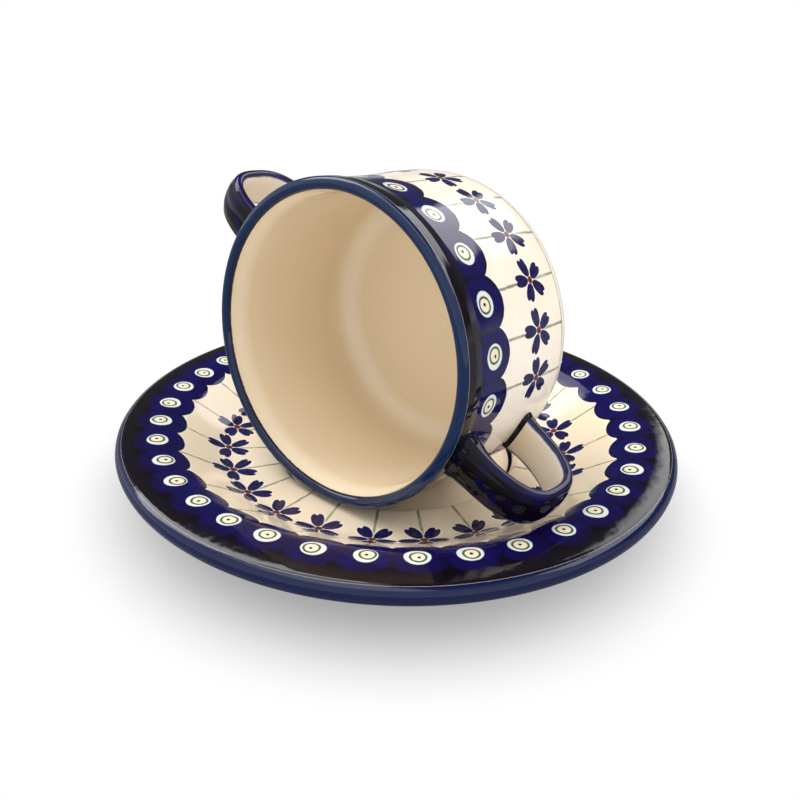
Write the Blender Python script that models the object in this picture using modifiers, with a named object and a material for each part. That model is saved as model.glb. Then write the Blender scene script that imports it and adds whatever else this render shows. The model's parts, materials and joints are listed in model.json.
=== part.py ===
"""A two-handled stoneware soup cup tipped on its side on its saucer.

Metres, +Z up.  The origin is the centre of the saucer's foot, on the table.
The saucer and the cup body are turned shapes.  Each strap handle is its own
piece, luted to the cup wall through a raised slip collar at either root.
"""
import math

import bmesh
import bpy
from mathutils import Matrix, Vector

MM = 0.001

# Driving dimensions, in millimetres.
SAUCER_RADIUS = 87.5
SAUCER_HEIGHT = 20.5
CUP_RADIUS = 45.4
CUP_HEIGHT = 58.3
LIP_THICKNESS = 3.2
STRAP_WIDTH = 12.0
STRAP_THICKNESS = 4.3
HANDLE_REACH = 24.2

# The saucer: heights and radii of the well, the field around it and the flank's top.
WELL_FLOOR = 5.9
WELL_RADIUS = 39.4
WELL_BEVEL = 2.6
FIELD_HEIGHT = 9.7
FIELD_RADIUS = 54.7
FLANK_TOP = 19.5
FLANK_RADIUS = 70.2
SAUCER_THICKNESS = 4.7
FOOT_RADIUS = 46.0
FOOT_WIDTH = 4.2
FOOT_RECESS = 1.3
BEAD_RADIUS = 2.9
BEAD_UNDERCUT = 3.2
BEAD_HOLLOW_RISE = 0.5
FLANK_UNDER_OUT = 1.4
FIELD_UNDER_OUT = 3.0
FIELD_UNDER_RISE = 0.3
FOOT_SPLAY = 0.9
FOOT_ROOT_DROP = 0.2
FOOT_DRAFT = 1.0

# The saucer's roundings, from the well to the foot.
WELL_ROUND = 2.0
STEP_ROUND = 1.4
FIELD_ROUND = 12.0
FLANK_ROUND = 14.0
RIM_ROUND = 3.0
BEAD_TOP_ROUND = 2.7
BEAD_FOOT_ROUND = 2.6
BELLY_ROUND = 12.0
FOOT_ROUND = 1.0
FOOT_INNER_ROUND = 0.8
FOOT_RECESS_ROUND = 0.6

# The cup: where its wall swells, its thickness and its foot.
LIP_RADIUS = 45.3
LIP_DEPTH = 4.3
WAIST_RADIUS = 44.7
WAIST_TOP = 50.6
WAIST_BOTTOM = 36.4
SWELL_HEIGHT = 24.3
BASE_HEIGHT = 3.2
INSIDE_RADIUS = 41.1
INSIDE_BASE_RADIUS = 40.7
FLOOR_HEIGHT = 6.1
FLOOR_RISE = 0.6
CUP_FOOT_RADIUS = 33.0
CUP_FOOT_WIDTH = 3.6
CUP_FOOT_RECESS = 1.6
CUP_FOOT_SPLAY = 1.4
CUP_FOOT_UNDERCUT = 0.6
CUP_FOOT_DRAFT = 1.2

# The cup's roundings.
LIP_ROUND = 1.5
WAIST_ROUND = 5.0
WALL_ROUND = 18.0
BASE_ROUND = 11.5
INSIDE_ROUND = 14.0
FLOOR_ROUND = 9.5
CUP_FOOT_ROUND = 0.9
CUP_FOOT_RECESS_ROUND = 0.6

# The handles: heights of the loop's opening above the cup's foot.
OPENING_TOP = 46.8
OPENING_BOTTOM = 23.8
LOOP_SQUARENESS = 0.73
STRAP_ROUND = 1.4
ROOT_OVERRUN = 8.0
FRONT_HANDLE_TURN = -1.0
BACK_HANDLE_TURN = 176.0

# The slip collars: how far they run out from the wall and stand proud.
COLLAR_LENGTH = 2.2
COLLAR_PROUD = 1.0
COLLAR_ROUND = 0.9
COLLAR_OVERRUN = 4.0

# How the cup lies: the middle of its mouth, and the way the mouth looks.
MOUTH_CENTRE = Vector((-18.4, -31.3, 55.7))
MOUTH_AZIMUTH = -129.1
MOUTH_ELEVATION = 5.3
CUP_ROLL = -25.2

# The glazes: colour and roughness.
CREAM_GLAZE = ((0.82, 0.74, 0.60), 0.12)
COBALT_GLAZE = ((0.012, 0.012, 0.09), 0.10)
NAVY_GLAZE = ((0.010, 0.022, 0.06), 0.12)

# Fineness, the gap left between pieces that touch, and the closest points kept apart.
TURN_STEPS = 48
ARC_STEPS = 3
STRAP_STEPS = 20
BEVEL_STEPS = 2
BEVEL_ANGLE = 50.0
GAP = 0.3
MERGE_DISTANCE = 0.00001


def clear_scene():
    """Start from an empty scene."""
    for item in list(bpy.data.objects):
        bpy.data.objects.remove(item, do_unlink=True)


def new_collection(name):
    """A collection linked to the scene."""
    collection = bpy.data.collections.new(name)
    bpy.context.scene.collection.children.link(collection)
    return collection


def material(name, colour, roughness):
    """A glazed ceramic finish."""
    finish = bpy.data.materials.new(name)
    finish.use_nodes = True
    shader = finish.node_tree.nodes["Principled BSDF"]
    shader.inputs["Base Color"].default_value = (*colour, 1.0)
    shader.inputs["Roughness"].default_value = roughness
    shader.inputs["Metallic"].default_value = 0.0
    return finish


def rounded(corners):
    """The points of a line through corners (r, z, radius), each one rounded."""
    points = []
    for index, (r, z, radius) in enumerate(corners):
        here = Vector((r, z))
        if radius == 0.0:
            points.append(here)
            continue
        back = Vector(corners[index - 1][:2]) - here
        ahead = Vector(corners[index + 1][:2]) - here
        back.normalize()
        ahead.normalize()
        half = back.angle(ahead) / 2.0
        centre = here + (back + ahead).normalized() * radius / math.sin(half)
        start = here + back * radius / math.tan(half) - centre
        finish = here + ahead * radius / math.tan(half) - centre
        sweep = start.angle_signed(finish)
        for step in range(ARC_STEPS + 1):
            turn = Matrix.Rotation(-sweep * step / ARC_STEPS, 2)
            points.append(centre + turn @ start)
    return points


def link(item, collection, parent, finish):
    """Put an object in its collection, under its parent, with its finish."""
    collection.objects.link(item)
    item.parent = parent
    if finish is not None:
        item.data.materials.append(finish)


def turned(name, outline, collection, parent, finish):
    """Turn an outline, from the top of the axis round to its foot, about Z."""
    mesh = bpy.data.meshes.new(name)
    form = bmesh.new()
    ring = [form.verts.new((point.x * MM, 0.0, point.y * MM)) for point in outline]
    for first, second in zip(ring, ring[1:]):
        form.edges.new((first, second))
    form.to_mesh(mesh)
    form.free()
    item = bpy.data.objects.new(name, mesh)
    link(item, collection, parent, finish)
    screw = item.modifiers.new("turn", "SCREW")
    screw.steps = TURN_STEPS
    screw.render_steps = TURN_STEPS
    screw.use_merge_vertices = True
    screw.merge_threshold = MERGE_DISTANCE
    screw.use_smooth_shade = True
    return item


def saucer_outline():
    """Saucer section: well, field, sloping flank, rim with a rolled edge, foot."""
    bead_r = SAUCER_RADIUS - BEAD_RADIUS
    bead_foot = SAUCER_HEIGHT - 2.0 * BEAD_RADIUS
    foot_inner = FOOT_RADIUS - FOOT_WIDTH
    under_field = FIELD_HEIGHT - SAUCER_THICKNESS
    return rounded([
        (0.0, WELL_FLOOR, 0.0),
        (WELL_RADIUS - WELL_BEVEL, WELL_FLOOR, WELL_ROUND),
        (WELL_RADIUS, FIELD_HEIGHT, STEP_ROUND),
        (FIELD_RADIUS, FIELD_HEIGHT, FIELD_ROUND),
        (FLANK_RADIUS, FLANK_TOP, FLANK_ROUND),
        (bead_r, SAUCER_HEIGHT, RIM_ROUND),
        (SAUCER_RADIUS, SAUCER_HEIGHT, BEAD_TOP_ROUND),
        (SAUCER_RADIUS, bead_foot, BEAD_FOOT_ROUND),
        (bead_r - BEAD_UNDERCUT, bead_foot + BEAD_HOLLOW_RISE, RIM_ROUND),
        (FLANK_RADIUS + FLANK_UNDER_OUT, FLANK_TOP - SAUCER_THICKNESS, BELLY_ROUND),
        (FIELD_RADIUS + FIELD_UNDER_OUT, under_field + FIELD_UNDER_RISE, BELLY_ROUND),
        (FOOT_RADIUS + FOOT_SPLAY, under_field - FOOT_ROOT_DROP, FOOT_ROUND),
        (FOOT_RADIUS, 0.0, FOOT_ROUND),
        (foot_inner, 0.0, FOOT_INNER_ROUND),
        (foot_inner - FOOT_DRAFT, FOOT_RECESS, FOOT_RECESS_ROUND),
        (0.0, FOOT_RECESS, 0.0),
    ])


def cup_outer_corners(grow):
    """The cup's outer wall from lip to foot, grown outwards by a distance."""
    foot = CUP_FOOT_RADIUS + grow
    return [
        (LIP_RADIUS + grow, CUP_HEIGHT, LIP_ROUND),
        (LIP_RADIUS + grow, CUP_HEIGHT - LIP_DEPTH, LIP_ROUND),
        (WAIST_RADIUS + grow, WAIST_TOP, WAIST_ROUND),
        (WAIST_RADIUS + grow, WAIST_BOTTOM, WALL_ROUND),
        (CUP_RADIUS + grow, SWELL_HEIGHT, WALL_ROUND),
        (CUP_RADIUS + grow, BASE_HEIGHT, BASE_ROUND),
        (foot + CUP_FOOT_SPLAY, BASE_HEIGHT - CUP_FOOT_UNDERCUT, CUP_FOOT_ROUND),
        (foot, 0.0, CUP_FOOT_ROUND),
    ]


def cup_outline():
    """Cup section: inside floor and wall, rounded lip, outer wall, foot ring."""
    foot_inner = CUP_FOOT_RADIUS - CUP_FOOT_WIDTH
    return rounded([
        (0.0, FLOOR_HEIGHT, 0.0),
        (INSIDE_BASE_RADIUS, FLOOR_HEIGHT + FLOOR_RISE, FLOOR_ROUND),
        (INSIDE_RADIUS, WAIST_TOP, INSIDE_ROUND),
        (LIP_RADIUS - LIP_THICKNESS, CUP_HEIGHT, LIP_ROUND),
        *cup_outer_corners(0.0),
        (foot_inner, 0.0, CUP_FOOT_ROUND),
        (foot_inner - CUP_FOOT_DRAFT, CUP_FOOT_RECESS, CUP_FOOT_RECESS_ROUND),
        (0.0, CUP_FOOT_RECESS, 0.0),
    ])


def wall_cutter_outline():
    """The cup's outer form, grown by the gap, with closed ends on the axis."""
    return rounded([(0.0, CUP_HEIGHT, 0.0), *cup_outer_corners(GAP), (0.0, 0.0, 0.0)])


def loop_point(step, clearance):
    """A point of the D-shaped loop: the opening's edge grown outwards by a distance."""
    angle = math.pi * step / STRAP_STEPS
    middle = (OPENING_TOP + OPENING_BOTTOM) / 2.0
    half = (OPENING_TOP - OPENING_BOTTOM) / 2.0 + clearance
    reach = HANDLE_REACH - STRAP_THICKNESS + clearance
    rise = math.copysign(abs(math.cos(angle)) ** LOOP_SQUARENESS, math.cos(angle))
    out = abs(math.sin(angle)) ** LOOP_SQUARENESS
    return Vector((LIP_RADIUS + reach * out, 0.0, middle + half * rise))


def strap(name, turn, grow, collection, parent, finish):
    """A strap bent to a D: an open strip with Solidify, rounded by Bevel."""
    width = STRAP_WIDTH + 2.0 * grow
    line = [loop_point(step, STRAP_THICKNESS / 2.0) for step in range(STRAP_STEPS + 1)]
    inward = Vector((-ROOT_OVERRUN, 0.0, 0.0))
    line = [line[0] + inward] + line + [line[-1] + inward]
    mesh = bpy.data.meshes.new(name)
    form = bmesh.new()
    side = Vector((0.0, -width / 2.0, 0.0))
    row = [form.verts.new((point + side) * MM) for point in line]
    edges = [form.edges.new(pair) for pair in zip(row, row[1:])]
    sheet = bmesh.ops.extrude_edge_only(form, edges=edges)["geom"]
    moved = [part for part in sheet if isinstance(part, bmesh.types.BMVert)]
    bmesh.ops.translate(form, verts=moved, vec=(0.0, width * MM, 0.0))
    bmesh.ops.recalc_face_normals(form, faces=form.faces)
    form.to_mesh(mesh)
    form.free()
    item = bpy.data.objects.new(name, mesh)
    item.rotation_euler = (0.0, 0.0, math.radians(turn))
    link(item, collection, parent, finish)
    solid = item.modifiers.new("thickness", "SOLIDIFY")
    solid.thickness = (STRAP_THICKNESS + 2.0 * grow) * MM
    solid.offset = 0.0
    solid.use_even_offset = True
    bevel = item.modifiers.new("rounding", "BEVEL")
    bevel.width = STRAP_ROUND * MM
    bevel.segments = BEVEL_STEPS
    bevel.limit_method = "ANGLE"
    bevel.angle_limit = math.radians(BEVEL_ANGLE)
    return item


def cut(item, cutter):
    """Take a cutter's volume away."""
    boolean = item.modifiers.new("cut_" + cutter.name, "BOOLEAN")
    boolean.operation = "DIFFERENCE"
    boolean.object = cutter


def hide(item):
    """Mark a cutter, which is not part of the object."""
    item.hide_render = True
    item.display_type = "WIRE"


def collar(name, turn, height, collection, parent, finish):
    """A raised cuff of slip, a rounded block round one root of a strap."""
    cuff = 2.0 * (GAP + COLLAR_PROUD)
    size = Vector((COLLAR_LENGTH + COLLAR_OVERRUN, STRAP_WIDTH + cuff, STRAP_THICKNESS + cuff))
    place = Vector((LIP_RADIUS + (COLLAR_LENGTH - COLLAR_OVERRUN) / 2.0, 0.0, height))
    mesh = bpy.data.meshes.new(name)
    form = bmesh.new()
    bmesh.ops.create_cube(form, size=1.0)
    bmesh.ops.scale(form, vec=size * MM, verts=form.verts)
    bmesh.ops.translate(form, vec=place * MM, verts=form.verts)
    form.to_mesh(mesh)
    form.free()
    item = bpy.data.objects.new(name, mesh)
    item.rotation_euler = (0.0, 0.0, math.radians(turn))
    link(item, collection, parent, finish)
    bevel = item.modifiers.new("rounding", "BEVEL")
    bevel.width = COLLAR_ROUND * MM
    bevel.segments = BEVEL_STEPS
    return item


def handle_with_collars(side, turn, groups, parent, finishes, wall):
    """One strap handle and its two collars, fitted to the wall and each other."""
    parts, cutters = groups
    handle = strap(side + "_handle", turn, 0.0, parts, parent, finishes["cobalt"])
    sleeve = strap(side + "_sleeve", turn, GAP, cutters, parent, None)
    hide(sleeve)
    cut(handle, wall)
    middle = STRAP_THICKNESS / 2.0
    roots = {"upper": OPENING_TOP + middle, "lower": OPENING_BOTTOM - middle}
    for root, height in roots.items():
        name = side + "_handle_" + root + "_collar"
        cuff = collar(name, turn, height, parts, parent, finishes["navy"])
        cut(cuff, sleeve)
        cut(cuff, wall)


def lying_cup(collection):
    """The empty that carries the tipped cup: its foot's centre and its axis."""
    turn = Matrix.Rotation(math.radians(MOUTH_AZIMUTH + 90.0), 4, "Z")
    tip = Matrix.Rotation(math.radians(90.0 - MOUTH_ELEVATION), 4, "X")
    roll = Matrix.Rotation(math.radians(CUP_ROLL), 4, "Z")
    lean = turn @ tip @ roll
    mouth_height = CUP_HEIGHT - LIP_THICKNESS / 2.0
    foot = MOUTH_CENTRE - lean.to_3x3() @ Vector((0.0, 0.0, mouth_height))
    carrier = bpy.data.objects.new("lying_cup", None)
    collection.objects.link(carrier)
    carrier.matrix_world = Matrix.Translation(foot * MM) @ lean
    return carrier


def main():
    """Build the saucer, the cup and its two handles."""
    clear_scene()
    parts = new_collection("soup_cup_and_saucer")
    cutters = new_collection("cutters")
    finishes = {
        "cream": material("cream_glaze", *CREAM_GLAZE),
        "cobalt": material("cobalt_glaze", *COBALT_GLAZE),
        "navy": material("navy_glaze", *NAVY_GLAZE),
    }
    turned("saucer", saucer_outline(), parts, None, finishes["cream"])
    carrier = lying_cup(parts)
    turned("cup_body", cup_outline(), parts, carrier, finishes["cream"])
    wall = turned("wall_cutter", wall_cutter_outline(), cutters, carrier, None)
    hide(wall)
    groups = (parts, cutters)
    handle_with_collars("front", FRONT_HANDLE_TURN, groups, carrier, finishes, wall)
    handle_with_collars("back", BACK_HANDLE_TURN, groups, carrier, finishes, wall)


main()
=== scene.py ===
"""Looks of a two-handled stoneware soup cup lying tipped on its saucer.

Metres, +Z up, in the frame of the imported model.  The saucer and the cup are turned
again, finely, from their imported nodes' own sections.  The strap handles and their
slip collars are swept to the size of theirs.  Each mesh carries its place on the
clay in millimetres, and the stamped pattern is worked out from it in the materials.
"""
import json
import math

import bmesh
import bpy
import numpy as np
from mathutils import Matrix, Vector


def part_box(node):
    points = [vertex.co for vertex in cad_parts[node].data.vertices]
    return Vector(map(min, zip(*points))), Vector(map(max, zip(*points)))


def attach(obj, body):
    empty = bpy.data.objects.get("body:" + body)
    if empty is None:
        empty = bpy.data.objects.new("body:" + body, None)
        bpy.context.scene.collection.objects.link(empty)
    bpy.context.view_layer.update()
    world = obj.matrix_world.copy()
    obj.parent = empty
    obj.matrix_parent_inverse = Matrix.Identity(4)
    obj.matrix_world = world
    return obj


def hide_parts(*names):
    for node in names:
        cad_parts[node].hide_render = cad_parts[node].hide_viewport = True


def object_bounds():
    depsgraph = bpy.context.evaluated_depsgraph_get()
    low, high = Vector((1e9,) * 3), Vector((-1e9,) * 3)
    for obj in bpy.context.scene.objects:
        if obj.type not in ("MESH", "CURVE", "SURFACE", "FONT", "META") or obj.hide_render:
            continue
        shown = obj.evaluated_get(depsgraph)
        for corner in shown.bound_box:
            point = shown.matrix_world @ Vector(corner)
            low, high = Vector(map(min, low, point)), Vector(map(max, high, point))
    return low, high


MM = 0.001

# Fineness of the meshes.
TURN_STEPS = 288
SECTION_STEP = 1.0
STRAP_ROWS = 110
STRAP_SIDES = 72
LOOP_SAMPLES = 600
FLOOR_SIDES = 96
FLAT_ENOUGH = 0.05
FACING_ROUNDS = 3

# The strap handles, in millimetres.
STRAP_THICKNESS = 4.3
LOOP_SQUARENESS = 0.73
ROOT_DEPTH = 1.5
CREAM_FACE = 4.9
ROOT_SWELL = 0.08
ROOT_RUN = 4.0
INNER_FLARE = 3.2
INNER_FLARE_RUN = 4.0

# The strap's section: how square its corners are, and its crown, bead and crease, by
# share of its half width.
CORNER_OUT = 0.62
CORNER_IN = 0.5
OUTER_CROWN = 0.42
INNER_CROWN = 0.12
BEAD_HEIGHT = 0.04
BEAD_AT = 0.84
CREASE_DEPTH = 0.05
CREASE_AT = 0.66
RIDGE_WIDTH = 0.10

# The slip collars, in millimetres: proud of the strap, and sunk into strap and wall.
COLLAR_LENGTH = 1.6
COLLAR_PROUD = 0.5
COLLAR_FLARE = 0.7
COLLAR_FLARE_RUN = 0.8
COLLAR_SUNK = 1.2
COLLAR_SUNK_IN = 0.25
COLLAR_STEPS = 12

# The turned shapes' unevenness, in millimetres.
SAUCER_DIP = 0.18
SAUCER_SAG = 0.05
DIP_FROM = 50.0
DIP_OVER = 37.0
CROWN = 0.5
CROWN_FROM = 70.0
CROWN_OVER = 14.0
CROWN_END = 1.15
CUP_OVAL = 0.10
CUP_RIPPLE = 0.05
CUP_SHRINK = 0.12
OVAL_HEIGHT = 30.0
OVAL_RADIUS = 40.0
RIPPLE_RISE = 11.0

# The glazes: shine, and the size and share of the swells and the grain on them.
GLAZE_IOR = 1.45
GLAZE_ROUGHNESS = 0.07
COLLAR_ROUGHNESS = 0.08
BARE_EXTRA_ROUGHNESS = 0.55
FULL_GLOSS = 0.5
BORDER_DULL = 0.32
STRAP_GLOSS = 0.42
STRAP_DULL = 0.24
COLLAR_GLOSS = 0.3
SWELL_SIZE = 9.0
SWELL_SHARE = 0.7
GRAIN_SIZE = 2.2
GRAIN_SHARE = 0.03
POT_SWELL = 0.055
STRAP_SWELL = 0.05

# The stamps, in millimetres on the clay.
EYE_RADIUS = 3.2
EYE_RING = 2.0
RING_WIDTH = 0.6
PUPIL_RADIUS = 0.48
RING_SQUASH = 0.96
PETAL_START = 1.0
PETAL_END = 6.1
PETAL_HALF_WIDTH = 1.75
PETALS = 5.0
PETAL_RISE = 0.45
PETAL_FALL = 0.26
PETAL_PEAK = 0.65
PETAL_NOTCH = 0.6
NOTCH_SLOPE = 1.2
NOTCH_END = 0.85
HEART_RADIUS = 1.0
LINE_WIDTH = 0.72
LINE_SOFT = 0.35
LINE_GAP = 1.6
RING_HALF_WIDTH = 0.22
WELL_LINE_HALF_WIDTH = 0.6
HALO = 0.35
HALO_SOFT = 0.4
EDGE = 0.16

# How far stamps stray from their places, in millimetres or as shares of their size.
EYE_STRAY = 0.35
EYE_SQUASH = 0.05
EYE_SPREAD = 0.12
RING_STRAY = (0.55, 0.45)
PUPIL_STRAY = (0.35, 0.3)
LOBE_DROP = 0.3
LOBE_SPREAD = 0.15
FLOWER_TWIST = math.radians(5.0)
FLOWER_DROP = 0.35
PETAL_SPREAD = 0.05
LINE_SLANT = 0.05
WANDER_SIZE = 1.1
DRAG_SIZE = 1.3

# The pigment: sizes, widths and softnesses in millimetres, covers and tones as shares.
STAMP_WANDER = 0.07
LIP_WANDER = 0.08
STAMP_DRAG = 0.05
LINE_DRAG = 0.06
RING_DRAG = 0.12
DRAG_TWIST = 0.4
WASH_SIZE = 5.0
WASH_COVER = 0.75
MOTTLE_SIZE = 4.2
STRAP_MOTTLE_SIZE = 4.5
COLLAR_MOTTLE_SIZE = 2.5
MOTTLE_DETAIL = 4.0
MOTTLE_TWIST = 0.8
CLOUD_SIZE = 30.0
CLOUD_COVER = 0.2
BAND_RAGGED = 0.6
BAND_LEAD = 3.0
BAND_SOFT = 1.6
DISC_INSET = 0.5
DISC_COVER = 0.9
BAND_COVER = 0.08
PLAIN_TONE = 0.45
OVERLAP_TONE = 0.22
MOTTLE_TONE = 0.45
BAND_TONE = 0.45
BAND_TONE_RUN = 5.0
# Painted highlights inside the cup: a pale band on the floor's rounded corner and one just below the lip,
# their widths and softnesses in millimetres and their cover as a share.
CORNER_HIGHLIGHT_HALF_WIDTH = 3.0
CORNER_HIGHLIGHT_SOFT = 3.5
LIP_HIGHLIGHT_WIDTH = 5.0
LIP_HIGHLIGHT_SOFT = 4.0
HIGHLIGHT_COVER = 0.5
FLOWER_HALO_COVER = 0.5
LOBE_HALO_COVER = 0.45
EYE_FILL_COVER = 0.8
INNER_LINE_WIDTH = 0.9
BARE_HEIGHT = 0.9
DULL_SOFT = 3.0

# The straps' glaze: how raggedly blue meets cream, how much darker it is near the roots,
# the painted shade on its outer face, and where it thins and breaks.
STRAP_RAGGED = 0.16
STRAP_RAGGED_SIZE = 4.0
OUTER_SLOPE = 0.16
# Darkening near the roots and painted shade on the outer face: reach and softness in millimetres, shares
# of brown-black.
ROOT_DARK_REACH = 4.5
ROOT_DARK_SOFT = 6.0
ROOT_DARKENING = 0.6
OUTER_PAINTED_SHADE = 0.9
THIN_WIDTH = 1.0
THIN_COVER = 0.45
CREAM_ROOT_REACH = 7.0
CREAM_ROOT_SOFT = 10.0
BREAK_BELOW = 0.45
BREAK_ABOVE = 0.2
BREAK_COVER = 0.6

# The cup's stamps: how many of each, the same for both rows, and where the first one is.
CUP_STAMPS = 21
CUP_FIRST_STAMP = 21.6

# Depths and radii that no point reaches, for what one pot has and the other hasn't.
NOWHERE = -900.0

# Seeds of the stamps' random numbers.
LOBE_SEED = 41
FLOWER_SHIFT_SEED = 51
FLOWER_DROP_SEED = 52
SLANT_SEED = 54
FLOWER_SEED = 60
EYE_SEED = 80

# The studio, with brightness where white is 1.  Panels are given as the azimuth and
# elevation of their middle, their half width and half height, all in degrees, how much
# they lean per degree of azimuth, and their brightness.
FLOOR_RADIUS = 6.0
FLOOR_GREY = 0.8
FLOOR_MIRRORED = 0.22
SHADOW_INNER = 0.066
SHADOW_OUTER = 0.106
SHADOW_TONE = 0.38
BACK_PANEL = (132.0, 48.0, 31.0, 14.0, -0.30, 4.8)
SIDE_PANEL = (26.0, 40.0, 42.0, 11.0, -0.14, 3.0)
TOP_PANEL = (195.0, 82.0, 100.0, 24.0, 0.0, 2.2)
FRONT_GLOW = (245.0, 8.0, 105.0, 48.0, 0.0, 0.75)
BACK_SOFT = 3.0
SIDE_SOFT = 2.5
TOP_SOFT = 16.0
GLOW_SOFT = 30.0
DIM = 0.12
LOW_LIGHT = 0.5
LOW_BELOW = 4.0
LOW_SOFT = 6.0
EXPOSURE = 1.25

# The camera, in millimetres from the middle of the saucer's foot.
CAMERA_PLACE = Vector((0.0, -233.5, 141.4))
CAMERA_TARGET = Vector((0.5, 0.0, 25.4))
CAMERA_ROLL = 1.86
CAMERA_LENS = 36.53
SENSOR_WIDTH = 36.0
CLIP_START = 0.01
FLOOR_DROP = 0.0001
WHITE = (1.0, 1.0, 1.0, 1.0)


def colour(code):
    """Linear colour of a #rrggbb code."""
    parts = [int(code[at:at + 2], 16) / 255.0 for at in (1, 3, 5)]
    linear = [part / 12.92 if part < 0.04 else ((part + 0.055) / 1.055) ** 2.4 for part in parts]
    return (*linear, 1.0)


CREAM = colour("#efe5d7")
SAUCER_CREAM = colour("#e2d2ba")
INSIDE_CREAM = colour("#e6d4b5")
# Colour of the painted highlights inside the cup.
PALE_HIGHLIGHT = colour("#f6ecd8")
EYE_CREAM = colour("#e2d5b6")
WHITE_SLIP = colour("#e6e8e4")
EYE_WHITE = colour("#d2d7d1")
SAGE = colour("#48543a")
RUST = colour("#642518")
PUPIL = colour("#3f160f")
INDIGO = colour("#15123c")
COBALT = colour("#13105a")
DEEP = colour("#120b2a")
BROWN_BLACK = colour("#0d080b")
SLATE = colour("#0b2347")
NAVY = colour("#07153f")
NIGHT = colour("#0a0d28")
VIOLET = colour("#3a3570")
BISCUIT = colour("#cdbb9c")


# ---------------------------------------------------------------- shader arithmetic

class Number:
    """A number in a material, so that plain arithmetic builds Math nodes."""

    def __init__(self, tree, source):
        self.tree = tree
        self.source = source

    def feed(self, slot):
        """Feed this number to an input."""
        if isinstance(self.source, (int, float)):
            slot.default_value = self.source
        else:
            self.tree.links.new(self.source, slot)

    def apply(self, operation, *others):
        """The result of a Math node."""
        node = self.tree.nodes.new("ShaderNodeMath")
        node.operation = operation
        for slot, value in zip(node.inputs, (self, *others)):
            as_number(self.tree, value).feed(slot)
        return Number(self.tree, node.outputs[0])

    def __add__(self, other):
        return self.apply("ADD", other)

    def __sub__(self, other):
        return self.apply("SUBTRACT", other)

    def __mul__(self, other):
        return self.apply("MULTIPLY", other)

    def __truediv__(self, other):
        return self.apply("DIVIDE", other)

    def __rsub__(self, other):
        return as_number(self.tree, other).apply("SUBTRACT", self)

    def __pow__(self, other):
        return self.apply("POWER", other)

    def __neg__(self):
        return self.apply("MULTIPLY", -1.0)

    __radd__ = __add__
    __rmul__ = __mul__

    def clamp(self):
        """This number held between 0 and 1."""
        result = self.apply("ADD", 0.0)
        result.source.node.use_clamp = True
        return result


def as_number(tree, value):
    """A Number for a socket, a plain number or a Number."""
    return value if isinstance(value, Number) else Number(tree, value)


def hypot(x, y):
    """Distance from the origin."""
    return (x * x + y * y).apply("SQRT")


def within(distance, edge, soft=EDGE):
    """1 where the distance is less than the edge, with a soft border."""
    return ((edge - distance) / soft + 0.5).clamp()


def between(value, low, high, soft=EDGE):
    """1 where the value lies between two limits, with soft borders."""
    return within(value, high, soft) * within(-value, -1.0 * low, soft)


def attribute(tree, name):
    """An Attribute node for one of the mesh's own attributes."""
    node = tree.nodes.new("ShaderNodeAttribute")
    node.attribute_name = name
    return node


def chance(tree, cell, seed):
    """A random number from -1 to 1 that stays the same within a cell."""
    pair = tree.nodes.new("ShaderNodeCombineXYZ")
    as_number(tree, cell).feed(pair.inputs[0])
    pair.inputs[1].default_value = seed
    noise = tree.nodes.new("ShaderNodeTexWhiteNoise")
    noise.noise_dimensions = "2D"
    tree.links.new(pair.outputs[0], noise.inputs["Vector"])
    return Number(tree, noise.outputs["Value"]) * 2.0 - 1.0


def noise(tree, place, size, detail=2.0, distortion=0.0):
    """Smooth noise around 0, roughly from -1 to 1, with features of a size in mm."""
    node = tree.nodes.new("ShaderNodeTexNoise")
    node.inputs["Scale"].default_value = 1.0 / size
    node.inputs["Detail"].default_value = detail
    node.inputs["Distortion"].default_value = distortion
    tree.links.new(place, node.inputs["Vector"])
    return Number(tree, node.outputs["Fac"]) * 4.0 - 2.0


def paint(tree, under, over, amount):
    """One colour laid over another."""
    node = tree.nodes.new("ShaderNodeMix")
    node.data_type = "RGBA"
    as_number(tree, amount).feed(node.inputs[0])
    for slot, value in ((node.inputs[6], under), (node.inputs[7], over)):
        if isinstance(value, tuple):
            slot.default_value = value
        else:
            tree.links.new(value, slot)
    return node.outputs[2]


# ---------------------------------------------------------------- finishes

def new_material(name):
    """An empty glaze: the material, its tree and its shader."""
    finish = bpy.data.materials.new(name)
    finish.use_nodes = True
    tree = finish.node_tree
    shader = tree.nodes["Principled BSDF"]
    shader.inputs["IOR"].default_value = GLAZE_IOR
    return finish, tree, shader


def glaze_surface(tree, shader, place, base, roughness, waviness, gloss):
    """Give a glaze its colour, its gloss and the slight unevenness of its surface."""
    tree.links.new(base, shader.inputs["Base Color"])
    as_number(tree, roughness).feed(shader.inputs["Roughness"])
    as_number(tree, gloss).feed(shader.inputs["Specular IOR Level"])
    height = noise(tree, place, SWELL_SIZE, 2.0) * SWELL_SHARE
    height = height + noise(tree, place, GRAIN_SIZE, 1.0) * GRAIN_SHARE
    bump = tree.nodes.new("ShaderNodeBump")
    bump.inputs["Strength"].default_value = 1.0
    bump.inputs["Distance"].default_value = waviness * MM
    height.feed(bump.inputs["Height"])
    tree.links.new(bump.outputs["Normal"], shader.inputs["Normal"])


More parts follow.
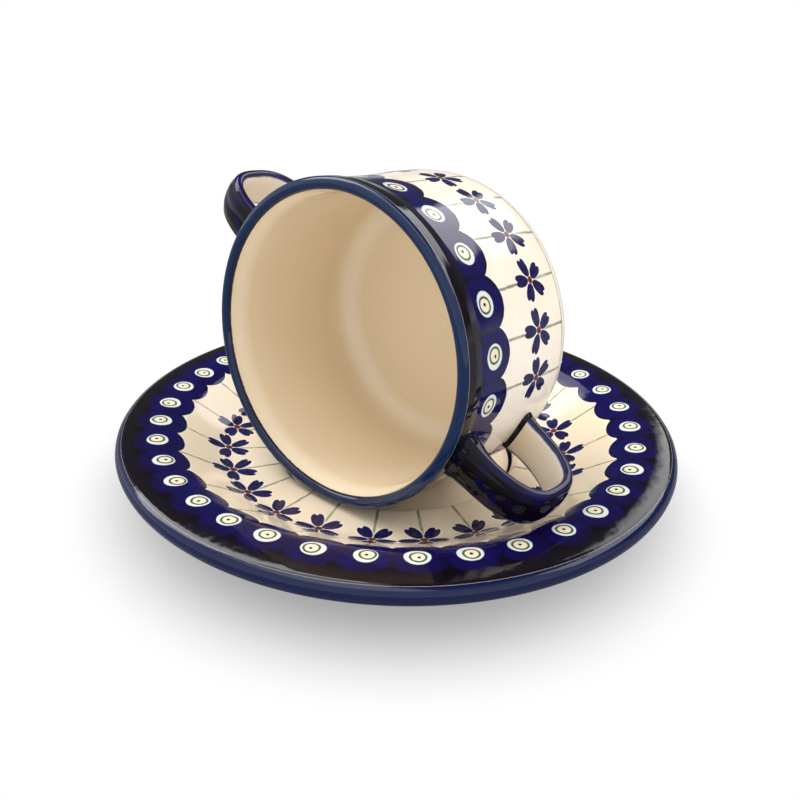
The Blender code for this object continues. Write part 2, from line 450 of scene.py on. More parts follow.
def eye_stamp(tree, x, y, cell, seed):
    """A stamped eye: cover of its white disc, its ring and its pupil."""
    x = x + chance(tree, cell, seed) * EYE_STRAY
    y = y + chance(tree, cell, seed + 1) * EYE_STRAY
    egg = 1.0 + chance(tree, cell, seed + 2) * EYE_SQUASH
    white = within(hypot(x * egg, y), EYE_RADIUS + EYE_SPREAD * chance(tree, cell, seed + 3))
    x = x + chance(tree, cell, seed + 4) * RING_STRAY[0]
    y = y + chance(tree, cell, seed + 5) * RING_STRAY[1]
    ring = within((hypot(x, y * RING_SQUASH) - EYE_RING).apply("ABSOLUTE"), RING_WIDTH / 2.0)
    x = x + chance(tree, cell, seed + 6) * PUPIL_STRAY[0]
    y = y + chance(tree, cell, seed + 7) * PUPIL_STRAY[1]
    pupil = within(hypot(x, y), PUPIL_RADIUS)
    return white, ring, pupil


def flower_stamp(tree, x, y, scale, cell, seed):
    """A stamped flower: cover of its petals, its heart and the halo round it."""
    x, y = x / scale, y / scale
    reach = hypot(x, y)
    angle = x.apply("ARCTAN2", y) + chance(tree, cell, seed) * FLOWER_TWIST
    petal = (angle * (PETALS / math.tau) + 0.5).apply("FLOOR")
    off = angle - petal * (math.tau / PETALS)
    size = 1.0 + chance(tree, cell * PETALS + petal, seed + 1) * PETAL_SPREAD
    along = reach * off.apply("COSINE") / size
    aside = (reach * off.apply("SINE")).apply("ABSOLUTE")
    share = ((along - PETAL_START) / (PETAL_END - PETAL_START)).clamp()
    width = share ** PETAL_RISE * (1.0 - share) ** PETAL_FALL * (PETAL_HALF_WIDTH / PETAL_PEAK)
    notch = (aside * NOTCH_SLOPE).apply("MINIMUM", NOTCH_END) + (PETAL_END - PETAL_NOTCH)
    petals = within(aside, width) * within(along, notch)
    halo = within(aside, width + HALO) * within(reach, PETAL_END + HALO, HALO_SOFT)
    heart = within(reach, HEART_RADIUS, HALO_SOFT)
    return petals, heart, halo


def stamped_glaze(name, layout):
    """Clear glaze over the stamped and painted pattern of the cup or the saucer, with pale bands of
    painted highlight inside the cup.
    """
    finish, tree, shader = new_material(name)
    place = attribute(tree, "clay").outputs["Vector"]
    split = tree.nodes.new("ShaderNodeSeparateXYZ")
    tree.links.new(place, split.inputs[0])
    px, py = Number(tree, split.outputs[0]), Number(tree, split.outputs[1])
    depth = Number(tree, attribute(tree, "depth").outputs["Fac"])
    radius = hypot(px, py)
    turn = py.apply("ARCTAN2", px) * math.degrees(1.0)

    # A stamp never lands quite clean: the pattern's edges wander a little.
    wander = noise(tree, place, WANDER_SIZE, 2.0)
    depth_w = depth + wander * STAMP_WANDER
    drag = noise(tree, place, DRAG_SIZE, 2.0, DRAG_TWIST)

    def row(count, first, drift, drift_from):
        """Cells of a row of stamps: cell number, width in mm along the row from its middle."""
        pitch = 360.0 / count
        lag = (turn - drift_from) * math.radians(1.0)
        raw = (turn - first - lag.apply("SINE") * drift) / pitch
        cell = (raw + 0.5).apply("FLOOR")
        stretch = 1.0 + lag.apply("COSINE") * math.radians(drift)
        x = (raw - cell) * radius * stretch * math.radians(pitch) + drag * STAMP_DRAG
        return cell.apply("FLOORED_MODULO", float(count)), x, radius * math.radians(pitch)

    # Lobes: a disc round each eye, and its neighbour's where the two overlap.
    cell, x, pitch_mm = row(layout["eyes"], layout["first_eye"], layout["eye_drift"], layout["drift_from"])
    y = layout["eye_depth"] - depth_w
    side = x.apply("SIGN")
    other = (cell + side).apply("FLOORED_MODULO", float(layout["eyes"]))
    own = hypot(x, y - chance(tree, cell, LOBE_SEED) * LOBE_DROP)
    beside = hypot(x - side * pitch_mm, y - chance(tree, other, LOBE_SEED) * LOBE_DROP)
    lobe_radius = layout["lobe_radius"]
    own_disc = within(own, lobe_radius + chance(tree, cell, LOBE_SEED + 1) * LOBE_SPREAD)
    beside_disc = within(beside, lobe_radius + chance(tree, other, LOBE_SEED + 1) * LOBE_SPREAD)
    lobes = own_disc.apply("MAXIMUM", beside_disc)
    lobe_halo = within(own.apply("MINIMUM", beside), lobe_radius + HALO, HALO_SOFT)
    overlap = own_disc * beside_disc

    # Flowers on their lines, and the painted ring that the lines run down to.
    plant, fx, _ = row(layout["flowers"], layout["first_flower"], layout["flower_drift"],
                       layout["flower_drift_from"])
    fx = fx + chance(tree, plant, FLOWER_SHIFT_SEED) * layout["flower_jitter"]
    fy = layout["flower_depth"] - depth_w + chance(tree, plant, FLOWER_DROP_SEED) * FLOWER_DROP
    petals, heart, flower_halo = flower_stamp(tree, fx, fy, layout["flower_size"], plant, FLOWER_SEED)
    slant = chance(tree, plant, SLANT_SEED) * LINE_SLANT
    across = (fx + fy * slant + drag * LINE_DRAG).apply("ABSOLUTE")
    line = within(across, LINE_WIDTH / 2.0, LINE_SOFT)
    line = line * between(depth, layout["eye_depth"], layout["ring_depth"])
    line = line * within(hypot(fx, fy), LINE_GAP, 0.3).apply("SUBTRACT", 1.0).apply("ABSOLUTE")
    for bare in layout["bare"]:
        grown = (plant - bare).apply("ABSOLUTE").apply("GREATER_THAN", 0.5)
        petals, heart, flower_halo, line = (part * grown for part in (petals, heart, flower_halo, line))
    off_ring = (depth + drag * RING_DRAG - layout["ring_depth"]).apply("ABSOLUTE")
    ring = within(off_ring, RING_HALF_WIDTH, 0.2)
    washed = WASH_COVER + noise(tree, place, WASH_SIZE) * (1.0 - WASH_COVER)

    # Pigment depth of the border: overlaps, the painted band and mottling.
    mottle = noise(tree, place, MOTTLE_SIZE, MOTTLE_DETAIL, MOTTLE_TWIST)
    band_from = layout["lip_depth"] - BAND_LEAD
    band = between(depth_w + mottle * BAND_RAGGED, band_from, layout["band_depth"], BAND_SOFT)
    discs = within(own.apply("MINIMUM", beside), lobe_radius - DISC_INSET, BAND_SOFT) * (1.0 - band)
    border = lobes.apply("MAXIMUM", between(depth_w, layout["lip_depth"], layout["eye_depth"]))
    near_band = within(depth, layout["band_depth"] + BAND_LEAD, BAND_TONE_RUN)
    thick = (PLAIN_TONE + overlap * OVERLAP_TONE + mottle * MOTTLE_TONE + near_band * BAND_TONE).clamp()
    blue = paint(tree, COBALT, DEEP, thick)
    blue = paint(tree, BROWN_BLACK, blue, discs * DISC_COVER + BAND_COVER)
    white, eye_ring, pupil = eye_stamp(tree, x, y, cell, EYE_SEED)

    clouds = (noise(tree, place, CLOUD_SIZE) * CLOUD_COVER + CLOUD_COVER).clamp()
    base = paint(tree, layout["cream"], INSIDE_CREAM, clouds)
    inside = within(depth, layout["lip_back"], 0.4)
    base = paint(tree, base, INSIDE_CREAM, inside)
    # Painted highlights: a pale band along the cup's rounded inner floor corner and another just inside
    # below the lip; on the saucer the second lands as a pale ring under the rim.
    corner = within((depth - layout["corner"]).apply("ABSOLUTE"), CORNER_HIGHLIGHT_HALF_WIDTH, CORNER_HIGHLIGHT_SOFT)
    lip_highlight_from = layout["lip_back"] - LIP_HIGHLIGHT_WIDTH
    lip_highlight = between(depth, lip_highlight_from, layout["lip_back"], LIP_HIGHLIGHT_SOFT)
    base = paint(tree, base, PALE_HIGHLIGHT, corner.apply("MAXIMUM", lip_highlight) * HIGHLIGHT_COVER)
    well_line = within((radius - layout["well_line"]).apply("ABSOLUTE"), WELL_LINE_HALF_WIDTH, 0.3)
    base = paint(tree, base, NIGHT, well_line * (1.0 - inside))
    base = paint(tree, base, SAGE, ring * washed)
    base = paint(tree, base, SAGE, line * washed * layout["line_strength"])
    base = paint(tree, base, WHITE_SLIP, flower_halo * FLOWER_HALO_COVER)
    petal_tone = paint(tree, INDIGO, VIOLET, (noise(tree, place, 1.6, 3.0) * 0.25 + 0.15).clamp())
    base = paint(tree, base, petal_tone, petals)
    base = paint(tree, base, RUST, heart)
    base = paint(tree, base, WHITE_SLIP, lobe_halo * LOBE_HALO_COVER)
    base = paint(tree, base, blue, border)
    seen = 1.0
    for bare in layout["blind"]:
        seen = (cell - bare).apply("ABSOLUTE").apply("GREATER_THAN", 0.5) * seen
    base = paint(tree, base, EYE_WHITE, white * seen)
    base = paint(tree, base, EYE_CREAM, within(hypot(x, y), EYE_RING, 0.4) * EYE_FILL_COVER * seen)
    base = paint(tree, base, SAGE, eye_ring * seen)
    base = paint(tree, base, PUPIL, pupil * seen)

    # The edge: slate where the blue glaze thins, with a dark line at either border.
    lip = between(depth + wander * LIP_WANDER, layout["lip_back"], layout["lip_depth"], 0.3)
    inner_lip = between(depth, layout["lip_back"], layout["lip_back"] + INNER_LINE_WIDTH, 0.5)
    slate = paint(tree, layout["edge"], NIGHT, (mottle * 0.15 + 0.2).clamp())
    slate = paint(tree, slate, NIGHT, inner_lip)
    base = paint(tree, base, slate, lip)

    # The foot ring stands unglazed.
    height = Number(tree, split.outputs[2])
    foot = within(height, BARE_HEIGHT, 0.4) * between(radius, layout["foot"][0], layout["foot"][1])
    base = paint(tree, base, BISCUIT, foot)
    dull = between(depth, layout["dull"][0], layout["dull"][1], DULL_SOFT)
    gloss = (FULL_GLOSS - dull * BORDER_DULL - well_line * FULL_GLOSS).clamp()
    roughness = GLAZE_ROUGHNESS + foot * BARE_EXTRA_ROUGHNESS
    glaze_surface(tree, shader, place, base, roughness, POT_SWELL, gloss)
    return finish


def handle_glaze(name):
    """Cobalt glaze outside, darkened there by painted shade, cream inside, breaking white along the edges.
    """
    finish, tree, shader = new_material(name)
    place = attribute(tree, "clay").outputs["Vector"]
    depth = Number(tree, attribute(tree, "depth").outputs["Fac"])
    root = Number(tree, attribute(tree, "root").outputs["Fac"])
    ragged = depth + noise(tree, place, STRAP_RAGGED_SIZE, 2.0) * STRAP_RAGGED
    mottle = noise(tree, place, STRAP_MOTTLE_SIZE, MOTTLE_DETAIL, MOTTLE_TWIST)
    blue = paint(tree, COBALT, DEEP, (0.6 + mottle * 0.5).clamp())
    # Painted shade: the strap's outer face is darkened towards brown-black; the strap is also darker near
    # its roots, and the darkening is mottled.
    outer = ((depth - CREAM_FACE) * OUTER_SLOPE).clamp()
    near_root = within(root, ROOT_DARK_REACH, ROOT_DARK_SOFT)
    darkened = (near_root * ROOT_DARKENING + outer * OUTER_PAINTED_SHADE + mottle * 0.3).clamp()
    blue = paint(tree, blue, BROWN_BLACK, darkened)
    thin = between(ragged, CREAM_FACE, CREAM_FACE + THIN_WIDTH, 0.7)
    blue = paint(tree, blue, VIOLET, thin * THIN_COVER)
    inner = within(ragged, CREAM_FACE, 0.5)
    warmer = within(root, CREAM_ROOT_REACH, CREAM_ROOT_SOFT)
    cream = paint(tree, CREAM, INSIDE_CREAM, warmer * 0.6 + 0.4)
    base = paint(tree, blue, cream, inner)
    breaks = between(ragged, CREAM_FACE - BREAK_BELOW, CREAM_FACE + BREAK_ABOVE, 0.5)
    base = paint(tree, base, WHITE_SLIP, breaks * BREAK_COVER)
    gloss = STRAP_GLOSS - outer * STRAP_DULL
    glaze_surface(tree, shader, place, base, GLAZE_ROUGHNESS, STRAP_SWELL, gloss)
    return finish


def collar_glaze(name):
    """Near-black blue where the glaze pools round a handle's root."""
    finish, tree, shader = new_material(name)
    place = attribute(tree, "clay").outputs["Vector"]
    mottle = noise(tree, place, COLLAR_MOTTLE_SIZE, 3.0, 0.6)
    base = paint(tree, BROWN_BLACK, NIGHT, (0.5 + mottle * 0.5).clamp())
    glaze_surface(tree, shader, place, base, COLLAR_ROUGHNESS, STRAP_SWELL, COLLAR_GLOSS)
    return finish


# ---------------------------------------------------------------- meshes

def add_piece(name, verts, faces, layers, matrix, node, body, slot, finish):
    """Add a mesh given in its own frame in mm, riding on a body in place of a node."""
    mesh = bpy.data.meshes.new(name)
    mesh.from_pydata((verts * MM).tolist(), [], faces)
    clay = mesh.attributes.new("clay", "FLOAT_VECTOR", "POINT")
    clay.data.foreach_set("vector", verts.astype(np.float32).ravel())
    for layer, values in layers.items():
        held = mesh.attributes.new(layer, "FLOAT", "POINT")
        held.data.foreach_set("value", np.asarray(values, np.float32))
    mesh.transform(matrix)
    form = bmesh.new()
    form.from_mesh(mesh)
    bmesh.ops.recalc_face_normals(form, faces=form.faces)
    form.to_mesh(mesh)
    form.free()
    mesh.shade_smooth()
    mesh.materials.append(finish)
    piece = bpy.data.objects.new(name, mesh)
    bpy.context.scene.collection.objects.link(piece)
    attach(piece, body)
    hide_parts(node)
    return piece


def section_of(node, matrix):
    """A turned node's section as (r, z) in mm, from the top of its axis to the underside."""
    mesh = frame["nodes"][node].data
    inverse = matrix.inverted()
    local = [(inverse @ vert.co) / MM for vert in mesh.vertices]
    rim = max(local, key=lambda point: point.xy.length)
    outward = rim.xy.normalized()
    keys = {}
    for index, point in enumerate(local):
        aside = point.x * outward.y - point.y * outward.x
        ahead = point.xy.dot(outward)
        if abs(aside) < FLAT_ENOUGH and ahead > -FLAT_ENOUGH:
            keys[index] = (round(max(ahead, 0.0), 2), round(point.z, 2))
    links = {}
    for edge in mesh.edges:
        first, second = (keys.get(vert) for vert in edge.vertices)
        if first and second and first != second:
            links.setdefault(first, set()).add(second)
            links.setdefault(second, set()).add(first)
    here = max((key for key in links if len(links[key]) == 1), key=lambda key: key[1])
    line = [here]
    while True:
        ahead = [key for key in links[here] if key not in line]
        if not ahead:
            break
        here = min(ahead, key=lambda key: (Vector(key) - Vector(here)).length)
        line.append(here)
    return [Vector((0.0, line[0][1])), *(Vector(key) for key in line), Vector((0.0, here[1]))]


def smooth_line(points, step):
    """A smooth line through the points, straight where their spacing is long."""
    tangents = []
    for index, point in enumerate(points):
        back = point - points[index - 1] if index else points[1] - point
        ahead = points[index + 1] - point if index + 1 < len(points) else back
        mean = back * back.length + ahead * ahead.length
        tangents.append(mean.normalized())
    line = []
    for index in range(len(points) - 1):
        start, end = points[index], points[index + 1]
        length = (end - start).length
        count = max(2, math.ceil(length / step))
        for number in range(count):
            t = number / count
            line.append(start * (2 * t**3 - 3 * t**2 + 1) + end * (3 * t**2 - 2 * t**3)
                        + tangents[index] * length * (t**3 - 2 * t**2 + t)
                        + tangents[index + 1] * length * (t**3 - t**2))
    line.append(points[-1])
    return np.array([(max(point.x, 0.0), point.y) for point in line])


def lengths_along(line):
    """Length along a line of points, from its start."""
    steps = np.hypot(*np.diff(line, axis=0).T)
    return np.concatenate([[0.0], np.cumsum(steps)])


def turned_mesh(line, warp):
    """A turned surface: rings of the section between one vertex at either end."""
    angles = np.arange(TURN_STEPS) * math.tau / TURN_STEPS
    r, z = line[1:-1, 0][:, None], line[1:-1, 1][:, None]
    grow, lift = warp(r, z, angles[None, :])
    rings = np.stack([(r + grow) * np.cos(angles), (r + grow) * np.sin(angles),
                      np.broadcast_to(z, (len(r), TURN_STEPS)) + lift], -1).reshape(-1, 3)
    ends = np.array([(0.0, 0.0, line[0, 1]), (0.0, 0.0, line[-1, 1])])
    verts = np.concatenate([ends[:1], rings, ends[1:]])
    faces = []
    last = len(verts) - 1
    for column in range(TURN_STEPS):
        beside = (column + 1) % TURN_STEPS
        faces.append((0, 1 + column, 1 + beside))
        for ring in range(len(r) - 1):
            low, high = 1 + ring * TURN_STEPS, 1 + (ring + 1) * TURN_STEPS
            faces.append((low + column, high + column, high + beside, low + beside))
        low = 1 + (len(r) - 1) * TURN_STEPS
        faces.append((low + column, last, low + beside))
    return verts, faces


def per_ring(values):
    """One value for each ring of a turned mesh, spread over its vertices."""
    return np.concatenate([values[:1], np.repeat(values[1:-1], TURN_STEPS), values[-1:]])


def saucer_warp(r, z, angle):
    """The saucer's broad rim is crowned, and its edge dips and rises as fired plates do."""
    share = np.clip((r - DIP_FROM) / DIP_OVER, 0.0, 1.0) ** 2
    crown = CROWN * np.sin(math.pi * np.clip((r - CROWN_FROM) / CROWN_OVER, 0.0, CROWN_END))
    lift = share * SAUCER_DIP * np.sin(2.0 * angle + 0.7) - share * SAUCER_SAG + crown
    return np.zeros_like(r * angle), lift


def cup_warp(r, z, angle):
    """The cup's wall is a shade out of round."""
    share = np.clip(z / OVAL_HEIGHT, 0.0, 1.0) * np.clip(r / OVAL_RADIUS, 0.0, 1.0)
    ripple = CUP_RIPPLE * np.sin(5.0 * angle + z / RIPPLE_RISE)
    grow = CUP_OVAL * np.sin(2.0 * angle + 1.9) + ripple - CUP_SHRINK
    return share * grow, 0.0 * r * angle


def strap_outline():
    """The strap's section from the middle of its inner face: (across, out) in shares of
    its half width and half thickness."""
    points = []
    for number in range(STRAP_SIDES):
        angle = math.tau * number / STRAP_SIDES - math.pi / 2.0
        c, s = math.cos(angle), math.sin(angle)
        across = math.copysign(abs(c) ** CORNER_OUT, c)
        share = abs(across)
        if s > 0.0:
            bead = BEAD_HEIGHT * math.exp(-((share - BEAD_AT) / RIDGE_WIDTH) ** 2)
            crease = CREASE_DEPTH * math.exp(-((share - CREASE_AT) / RIDGE_WIDTH) ** 2)
            out = abs(s) ** CORNER_OUT * (1.0 - OUTER_CROWN * share**2) + (bead - crease) * abs(s)
        else:
            out = -abs(s) ** CORNER_IN * (1.0 - INNER_CROWN * share**2)
        points.append((across, out))
    return np.array(points)


def strap_path(shape):
    """The loop's middle line in its own plane (x out from the axis, z up), evenly spaced."""
    angles = np.linspace(0.0, math.pi, LOOP_SAMPLES)
    rise = np.copysign(np.abs(np.cos(angles)) ** LOOP_SQUARENESS, np.cos(angles))
    out = np.abs(np.sin(angles)) ** LOOP_SQUARENESS
    line = np.stack([shape["wall"] + shape["reach"] * out,
                     shape["middle"] + shape["half"] * rise], -1)
    root = np.array([ROOT_DEPTH, 0.0])
    line = np.concatenate([line[:1] - root, line, line[-1:] - root])
    along = lengths_along(line)
    even = np.linspace(0.0, along[-1], STRAP_ROWS)
    return np.stack([np.interp(even, along, line[:, 0]), np.interp(even, along, line[:, 1])], -1), even


def handle_shape(node, matrix, wall):
    """The loop of a handle node in its own frame: its reach, heights and width, in mm."""
    inverse = matrix.inverted()
    local = np.array([(inverse @ vert.co) / MM for vert in frame["nodes"][node].data.vertices])
    low, high = local.min(0), local.max(0)
    half = STRAP_THICKNESS / 2.0
    return {
        "wall": wall,
        "reach": high[0] - half - wall,
        "middle": (low[2] + high[2]) / 2.0,
        "half": (high[2] - low[2]) / 2.0 - half,
        "width": high[1] - low[1],
    }


def sweep_strap(shape):
    """The strap: its outline swept along the loop, a little fuller at the roots."""
    path, along = strap_path(shape)
    outline = strap_outline() * (shape["width"] / 2.0, STRAP_THICKNESS / 2.0)
    ahead = np.gradient(path, along, axis=0)
    ahead /= np.linalg.norm(ahead, axis=1)[:, None]
    outward = np.stack([-ahead[:, 1], ahead[:, 0]], -1)
    root = np.minimum(along, along[-1] - along) - ROOT_DEPTH
    upper = np.maximum(along - ROOT_DEPTH, 0.0)
    rows = []
    for place, normal, length, down in zip(path, outward, root, upper):
        fuller = ROOT_SWELL * math.exp(-(max(length, 0.0) / ROOT_RUN) ** 2)
        across = outline[:, 0] * (1.0 + fuller)
        flare = INNER_FLARE * math.exp(-down / INNER_FLARE_RUN)
        out = outline[:, 1] * (1.0 + 2.0 * fuller) + np.minimum(outline[:, 1] / 2.0, 0.0) * flare
        rows.append(np.stack([place[0] + normal[0] * out, across, place[1] + normal[1] * out], -1))
    sides = len(outline)
    faces = []
    for row in range(len(path) - 1):
        for side in range(sides):
            low, beside = row * sides + side, row * sides + (side + 1) % sides
            faces.append((low, beside, beside + sides, low + sides))
    faces.append(tuple(range(sides - 1, -1, -1)))
    faces.append(tuple(range((len(path) - 1) * sides, len(path) * sides)))
    around = lengths_along(np.concatenate([outline, outline[:1]]))
    girth = around[-1]
    around = around[:-1]
    depth = np.minimum(around, girth - around)
    layers = {"depth": np.tile(depth, len(path)), "root": np.repeat(root, sides)}
    return np.concatenate(rows), faces, layers


def sweep_collar(shape, upward):
    """A slip collar: a rounded ring hugging the wall and the strap's root."""
    outline = strap_outline() * (shape["width"] / 2.0 * (1.0 + ROOT_SWELL),
                                 STRAP_THICKNESS / 2.0 * (1.0 + 2.0 * ROOT_SWELL))
    ahead = np.roll(outline, -1, 0) - np.roll(outline, 1, 0)
    normal = np.stack([ahead[:, 1], -ahead[:, 0]], -1) / np.linalg.norm(ahead, axis=1)[:, None]
    loops = []
    for step in range(COLLAR_STEPS + 1):
        angle = math.pi / 2.0 * step / COLLAR_STEPS
        run = (COLLAR_LENGTH + COLLAR_SUNK) * math.sin(angle) - COLLAR_SUNK
        foot = COLLAR_FLARE * math.exp(-(run + COLLAR_SUNK) / COLLAR_FLARE_RUN)
        proud = (COLLAR_PROUD + COLLAR_SUNK_IN) * math.cos(angle) - COLLAR_SUNK_IN
        loops.append((run, proud + foot))
    loops.append((-COLLAR_SUNK, -COLLAR_SUNK_IN))
    rows = []
    for run, grow in loops:
        ring = outline + normal * grow
        wall = np.sqrt(shape["wall"] ** 2 - ring[:, 0] ** 2)
        height = shape["middle"] + upward * (shape["half"] + ring[:, 1])
        rows.append(np.stack([wall + run, ring[:, 0], height], -1))
    sides, count = len(outline), len(loops)
    faces = []
    for row in range(count):
        for side in range(sides):
            beside, next_row = (side + 1) % sides, (row + 1) % count
            faces.append((row * sides + side, row * sides + beside,
                          next_row * sides + beside, next_row * sides + side))
    return np.concatenate(rows), faces, {}


# ---------------------------------------------------------------- frames

def centre_of(node, matrix):
    """The middle of a node's extents in a frame, in metres."""
    inverse = matrix.inverted()
    local = np.array([inverse @ vert.co for vert in frame["nodes"][node].data.vertices])
    return Vector((local.min(0) + local.max(0)) / 2.0), Vector(local.min(0))


def aligned(up, ahead, origin):
    """A frame with Z along up and X as near as it can be to ahead."""
    ahead = (ahead - up * ahead.dot(up)).normalized()
    turn = Matrix((ahead, up.cross(ahead), up)).transposed().to_4x4()
    turn.translation = origin
    return turn


def facing(node, up, body):
    """The frame at the foot of a turned body with X towards a handle."""
    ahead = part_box(node)[0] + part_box(node)[1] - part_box(body)[0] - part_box(body)[1]
    place = aligned(up, ahead, Vector())
    for _ in range(FACING_ROUNDS):
        middle, low = centre_of(body, place)
        origin = place @ Vector((middle.x, middle.y, low.z))
        place = aligned(up, ahead, origin)
        handle, _ = centre_of(node, place)
        ahead = place.to_3x3() @ handle
    return place


def along_at(line, along, column, value, start=0, end=None):
    """Length along a section where a coordinate (0 r, 1 z) comes nearest to a value."""
    part = slice(start, end)
    nearest = int(np.argmin(np.abs(line[part, column] - value)))
    return along[part][nearest]


# ---------------------------------------------------------------- stage

def new_world():
    """A new world, white to the eye: its tree, its light and its Light Path node."""
    world = bpy.data.worlds.new("studio")
    bpy.context.scene.world = world
    world.use_nodes = True
    tree = world.node_tree
    tree.nodes.clear()
    light = tree.nodes.new("ShaderNodeBackground")
    backdrop = tree.nodes.new("ShaderNodeBackground")
    backdrop.inputs["Color"].default_value = WHITE
    light.inputs["Color"].default_value = WHITE
    path = tree.nodes.new("ShaderNodeLightPath")
    seen = tree.nodes.new("ShaderNodeMixShader")
    out = tree.nodes.new("ShaderNodeOutputWorld")
    tree.links.new(path.outputs["Is Camera Ray"], seen.inputs[0])
    tree.links.new(light.outputs[0], seen.inputs[1])
    tree.links.new(backdrop.outputs[0], seen.inputs[2])
    tree.links.new(seen.outputs[0], out.inputs["Surface"])
    return tree, light, path


def build_world():
    """White to the eye, and for light a dim studio with soft panels behind and above."""
    tree, light, path = new_world()
    split = tree.nodes.new("ShaderNodeSeparateXYZ")
    tree.links.new(tree.nodes.new("ShaderNodeTexCoord").outputs["Generated"], split.inputs[0])
    x, y, z = (Number(tree, split.outputs[axis]) for axis in range(3))
    azimuth = y.apply("ARCTAN2", x) * math.degrees(1.0)
    elevation = z.apply("ARCSINE") * math.degrees(1.0)
    glow = as_number(tree, DIM) + within(elevation, LOW_BELOW, LOW_SOFT) * LOW_LIGHT
    panels = ((BACK_PANEL, BACK_SOFT), (SIDE_PANEL, SIDE_SOFT),
              (TOP_PANEL, TOP_SOFT), (FRONT_GLOW, GLOW_SOFT))
    for panel, soft in panels:
        middle, height, half_width, half_height, lean, brightness = panel
        aside = (azimuth - middle + 540.0).apply("FLOORED_MODULO", 360.0) - 180.0
        above = elevation - height - aside * lean
        cover = within(aside.apply("ABSOLUTE"), half_width, soft)
        cover = cover * within(above.apply("ABSOLUTE"), half_height, soft)
        glow = glow + cover * brightness
    mirrored = Number(tree, path.outputs["Is Glossy Ray"])
    (glow * (EXPOSURE - mirrored * (EXPOSURE - 1.0))).feed(light.inputs["Strength"])


def build_floor(level):
    """A wide white floor: grey for light, and to the eye white but for a soft shadow."""
    mesh = bpy.data.meshes.new("floor")
    angles = [math.tau * step / FLOOR_SIDES for step in range(FLOOR_SIDES)]
    mesh.from_pydata([(FLOOR_RADIUS * math.cos(a), FLOOR_RADIUS * math.sin(a), 0.0) for a in angles],
                     [], [tuple(range(FLOOR_SIDES))])
    floor = bpy.data.objects.new("floor", mesh)
    floor.location = level
    bpy.context.scene.collection.objects.link(floor)
    finish, tree, shader = new_material("white_floor")
    path = tree.nodes.new("ShaderNodeLightPath")
    grey = paint(tree, (FLOOR_GREY,) * 3 + (1.0,), (FLOOR_MIRRORED,) * 3 + (1.0,),
                 path.outputs["Is Glossy Ray"])
    tree.links.new(grey, shader.inputs["Base Color"])
    shader.inputs["Roughness"].default_value = 1.0
    shader.inputs["Specular IOR Level"].default_value = 0.0
    split = tree.nodes.new("ShaderNodeSeparateXYZ")
    tree.links.new(tree.nodes.new("ShaderNodeTexCoord").outputs["Object"], split.inputs[0])
    radius = hypot(Number(tree, split.outputs[0]), Number(tree, split.outputs[1]))
    share = ((radius - SHADOW_INNER) / (SHADOW_OUTER - SHADOW_INNER)).clamp()
    share = share * share * (3.0 - share * 2.0)
    plain = tree.nodes.new("ShaderNodeEmission")
    (share * (1.0 - SHADOW_TONE) + SHADOW_TONE).feed(plain.inputs["Strength"])
    seen = tree.nodes.new("ShaderNodeMixShader")
    tree.links.new(path.outputs["Is Camera Ray"], seen.inputs[0])
    tree.links.new(shader.outputs[0], seen.inputs[1])
    tree.links.new(plain.outputs[0], seen.inputs[2])
    tree.links.new(seen.outputs[0], tree.nodes["Material Output"].inputs["Surface"])
    mesh.materials.append(finish)


def build_camera(axis):
    """The camera, held a little above the rim and rolled a little about its view."""
    data = bpy.data.cameras.new("camera")
    data.sensor_width = SENSOR_WIDTH
    data.lens = CAMERA_LENS
    data.clip_start = CLIP_START
    camera = bpy.data.objects.new("camera", data)
    place = axis + CAMERA_PLACE * MM
    look = axis + CAMERA_TARGET * MM - place
    camera.location = place
    roll = Matrix.Rotation(math.radians(CAMERA_ROLL), 3, "Z")
    camera.rotation_euler = (look.to_track_quat("-Z", "Y").to_matrix() @ roll).to_euler()
    bpy.context.scene.collection.objects.link(camera)
    bpy.context.scene.camera = camera


# ---------------------------------------------------------------- pieces

def build_saucer():
    """The saucer, turned again on its axis."""
    low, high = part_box("saucer")
    axis = Matrix.Translation(((low.x + high.x) / 2.0, (low.y + high.y) / 2.0, low.z))
    line = smooth_line(section_of("saucer", axis), SECTION_STEP)
    along = lengths_along(line)
    rim = int(np.argmax(line[:, 0]))

    def depth_at(radius):
        """Depth in from the rim along the upper side, at a radius."""
        return along[rim] - along_at(line, along, 0, radius, 0, rim)

    layout = {
        "eyes": 36, "first_eye": 147.5, "eye_drift": 2.8, "drift_from": 0.0,
        "eye_depth": depth_at(74.9), "lobe_radius": 8.0,
        "flowers": 24, "first_flower": 174.2, "flower_drift": 2.0, "flower_drift_from": -60.0,
        "flower_depth": depth_at(54.35), "flower_jitter": 0.7, "flower_size": 1.15,
        "ring_depth": depth_at(38.1), "line_strength": 0.95,
        "cream": SAUCER_CREAM, "well_line": 37.3, "edge": NAVY,
        "lip_depth": depth_at(85.3), "lip_back": -4.0, "band_depth": depth_at(81.5),
        "foot": (41.4, 46.6), "bare": [], "blind": [],
        "dull": (depth_at(82.0), depth_at(68.0)), "corner": NOWHERE,
    }
    finish = stamped_glaze("saucer_stamped_glaze", layout)
    verts, faces = turned_mesh(line, saucer_warp)
    layers = {"depth": per_ring(along[rim] - along)}
    add_piece("saucer_glazed", verts, faces, layers, axis, "saucer", "saucer", "saucer_glaze", finish)


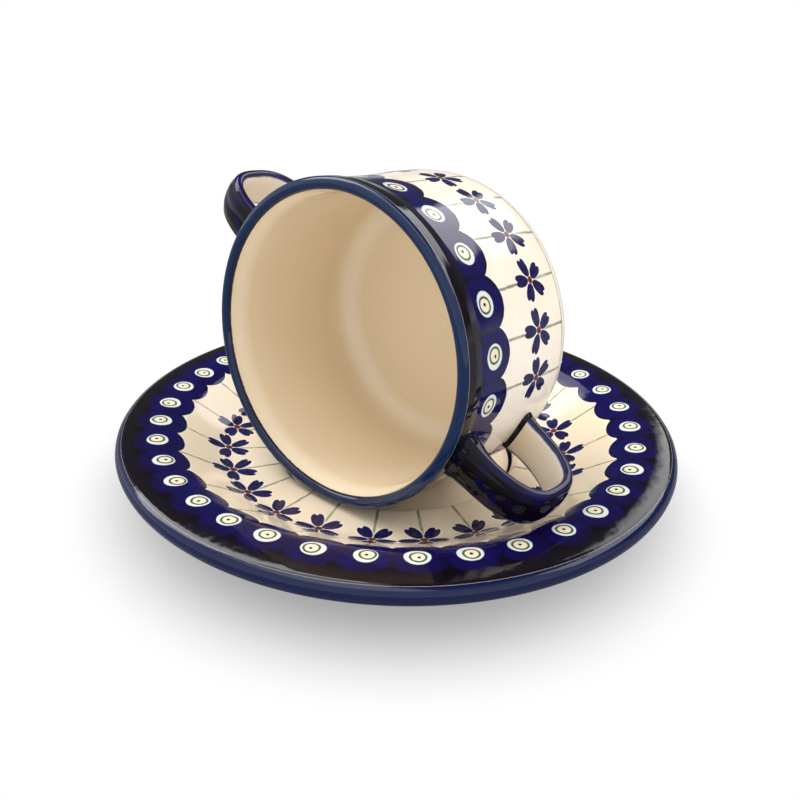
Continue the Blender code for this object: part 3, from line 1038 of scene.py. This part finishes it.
def build_cup():
    """The cup body, its two strap handles and their four collars."""
    up = -Vector(mounts["cup_foot"]["axis"]).normalized()
    place = facing("front_handle", up, "cup_body")
    behind = facing("back_handle", up, "cup_body")
    back_turn = (place.inverted() @ behind).to_euler().z
    line = smooth_line(section_of("cup_body", place), SECTION_STEP)
    along = lengths_along(line)
    lip = int(np.argmax(line[:, 1]))
    tall = line[lip, 1]
    wall = float(line[line[:, 1] > tall * 0.9, 0].max())

    def depth_at(below):
        """Depth along the outer wall at a height below the lip's top."""
        return along_at(line, along, 1, tall - below, lip) - along[lip]

    pitch = 360.0 / CUP_STAMPS
    first = CUP_FIRST_STAMP
    hidden = [round((math.degrees(turn) - first) / pitch) % CUP_STAMPS for turn in (0.0, back_turn)]
    layout = {
        "eyes": CUP_STAMPS, "first_eye": first - 0.8, "eye_drift": -1.2, "drift_from": -20.0,
        "eye_depth": depth_at(12.7), "lobe_radius": 7.6,
        "flowers": CUP_STAMPS, "first_flower": 23.0, "flower_drift": 0.0, "flower_drift_from": 0.0,
        "flower_depth": depth_at(33.9), "flower_jitter": 1.2, "flower_size": 1.02,
        "ring_depth": depth_at(46.4), "line_strength": 0.95,
        "cream": CREAM, "well_line": NOWHERE, "edge": SLATE,
        "lip_depth": depth_at(1.8), "lip_back": -2.6, "band_depth": depth_at(4.5),
        "foot": (29.0, 33.4), "bare": hidden, "blind": hidden,
        # The corner is where the band of painted highlight runs round the inner floor.
        "dull": (NOWHERE, NOWHERE), "corner": along_at(line, along, 0, 38.0, 0, lip) - along[lip],
    }
    finish = stamped_glaze("cup_stamped_glaze", layout)
    verts, faces = turned_mesh(line, cup_warp)
    layers = {"depth": per_ring(along - along[lip])}
    add_piece("cup_body_glazed", verts, faces, layers, place, "cup_body", "cup", "cup_glaze", finish)

    cobalt = handle_glaze("handle_cobalt_glaze")
    darkened = collar_glaze("collar_pooled_glaze")
    for side, at in (("front", place), ("back", behind)):
        node = side + "_handle"
        shape = handle_shape(node, at, wall)
        add_piece(node + "_strap", *sweep_strap(shape), at, node, "cup", "handle_glaze", cobalt)
        for root, upward in (("upper", 1.0), ("lower", -1.0)):
            collar = node + "_" + root + "_collar"
            add_piece(collar + "_slip", *sweep_collar(shape, upward), at, collar, "cup",
                      "collar_glaze", darkened)


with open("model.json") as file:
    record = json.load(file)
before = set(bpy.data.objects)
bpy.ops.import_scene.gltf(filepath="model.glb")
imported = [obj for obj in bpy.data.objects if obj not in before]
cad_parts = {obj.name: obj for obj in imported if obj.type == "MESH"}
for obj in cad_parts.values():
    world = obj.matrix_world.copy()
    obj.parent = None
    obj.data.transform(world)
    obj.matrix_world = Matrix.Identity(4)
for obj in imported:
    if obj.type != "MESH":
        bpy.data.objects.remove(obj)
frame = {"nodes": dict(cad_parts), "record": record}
cad_low, cad_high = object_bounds()
mounts = {mount["name"]: mount for mount in frame["record"]["mounts"]}

build_saucer()
build_cup()

middle = (cad_low + cad_high) / 2.0
centre = Vector((middle.x, middle.y, cad_low.z))
build_world()
build_floor(centre - Vector((0.0, 0.0, FLOOR_DROP)))
build_camera(centre)
bpy.context.scene.view_settings.view_transform = "Standard"
